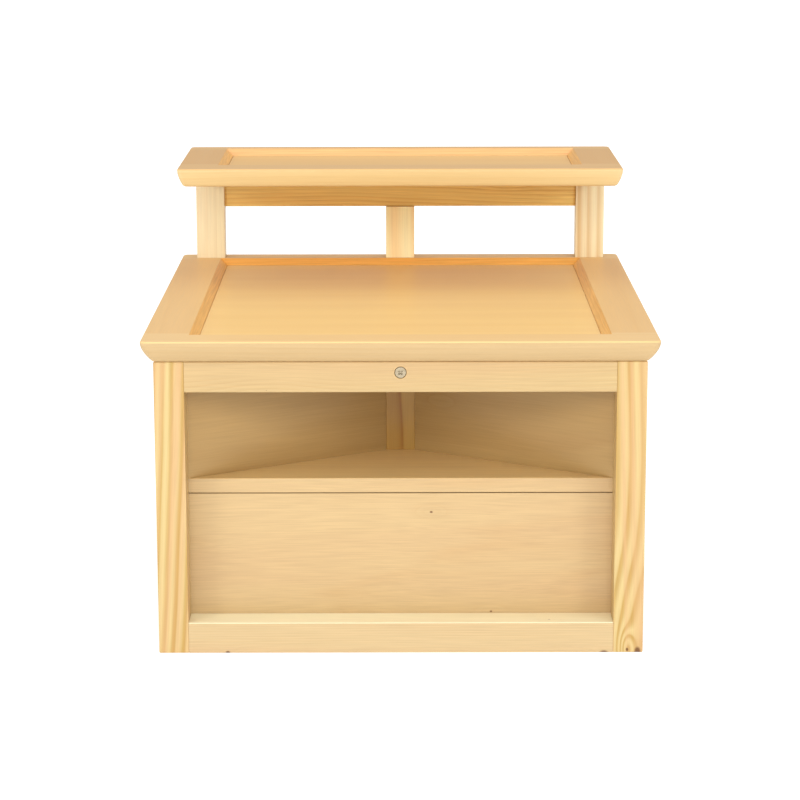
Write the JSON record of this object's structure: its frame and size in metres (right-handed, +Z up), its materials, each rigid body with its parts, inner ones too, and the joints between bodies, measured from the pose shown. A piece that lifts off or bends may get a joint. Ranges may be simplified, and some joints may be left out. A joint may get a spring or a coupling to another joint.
{
  "type": "potting bench",
  "caption": "Low pine bench with a tray-topped worktop, a wedge-shaped front niche over a closed panel, and a raised tray shelf on posts with an apron.",
  "frame": {"origin": "on the floor, under the middle of the bench's box", "axes": "+Z up, +Y from front to back, +X to the right as seen from the front"},
  "size_m": [0.68, 0.72, 0.597],
  "materials": {
    "pine_legs": "clear lacquered pine, bold straight grain",
    "pine_rails": "clear lacquered pine, fine grain",
    "pine_panels": "clear lacquered pine board",
    "pine_niche": "clear lacquered pine board",
    "pine_worktop": "clear lacquered pine, glossy",
    "pine_shelf": "clear lacquered pine, glossy",
    "pine_apron": "clear lacquered pine, wavy grain",
    "zinc_cam": "die-cast zinc",
    "steel_bolt": "zinc-plated steel",
    "beech_dowel": "plain beech",
    "steel_screw": "zinc-plated steel"
  },
  "bodies": {
    "bench": {"front_left_leg": "pine_legs", "front_right_leg": "pine_legs", "rear_left_leg": "pine_legs", "rear_right_leg": "pine_legs", "front_top_rail": "pine_rails", "rear_top_rail": "pine_rails", "left_top_rail": "pine_rails", "right_top_rail": "pine_rails", "front_bottom_rail": "pine_rails", "rear_bottom_rail": "pine_rails", "left_bottom_rail": "pine_rails", "right_bottom_rail": "pine_rails", "lower_front_panel": "pine_panels", "left_side_panel": "pine_panels", "right_side_panel": "pine_panels", "back_panel": "pine_panels", "bottom_board": "pine_panels", "niche_floor": "pine_panels", "niche_left_wall": "pine_niche", "niche_right_wall": "pine_niche", "niche_corner_post": "pine_niche", "left_floor_cleat": "pine_rails", "right_floor_cleat": "pine_rails", "rear_floor_cleat": "pine_rails", "worktop_front_rail": "pine_worktop", "worktop_back_rail": "pine_worktop", "worktop_left_stile": "pine_worktop", "worktop_right_stile": "pine_worktop", "worktop_panel": "pine_worktop", "left_post": "pine_legs", "right_post": "pine_legs", "centre_post": "pine_legs", "shelf_apron": "pine_apron", "shelf_front_rail": "pine_shelf", "shelf_back_rail": "pine_shelf", "shelf_left_stile": "pine_shelf", "shelf_right_stile": "pine_shelf", "shelf_panel": "pine_shelf", "left_shelf_bearer": "pine_rails", "right_shelf_bearer": "pine_rails", "front_cam_bolt": "steel_bolt", "rear_cam_bolt": "steel_bolt", "top_frame_dowels": "beech_dowel", "bottom_frame_dowels": "beech_dowel", "worktop_dowels": "beech_dowel", "shelf_dowels": "beech_dowel", "post_foot_dowels": "beech_dowel", "post_head_dowels": "beech_dowel", "apron_dowels": "beech_dowel", "bearer_dowels": "beech_dowel", "panel_screws": "steel_screw", "cleat_screws": "steel_screw", "worktop_screws": "steel_screw", "bearer_screws": "steel_screw"},
    "front_cam_disc": {"front_cam": "zinc_cam"},
    "rear_cam_disc": {"rear_cam": "zinc_cam"}
  },
  "joints": [
    {"name": "front_cam_turn", "type": "hinge", "parent": "bench", "child": "front_cam_disc", "pos_m": [0, -0.344, 0.3835], "axis": [0, -1, 0], "range_deg": [0, 150]},
    {"name": "rear_cam_turn", "type": "hinge", "parent": "bench", "child": "rear_cam_disc", "pos_m": [0, 0.344, 0.3835], "axis": [0, 1, 0], "range_deg": [0, 150]}
  ]
}
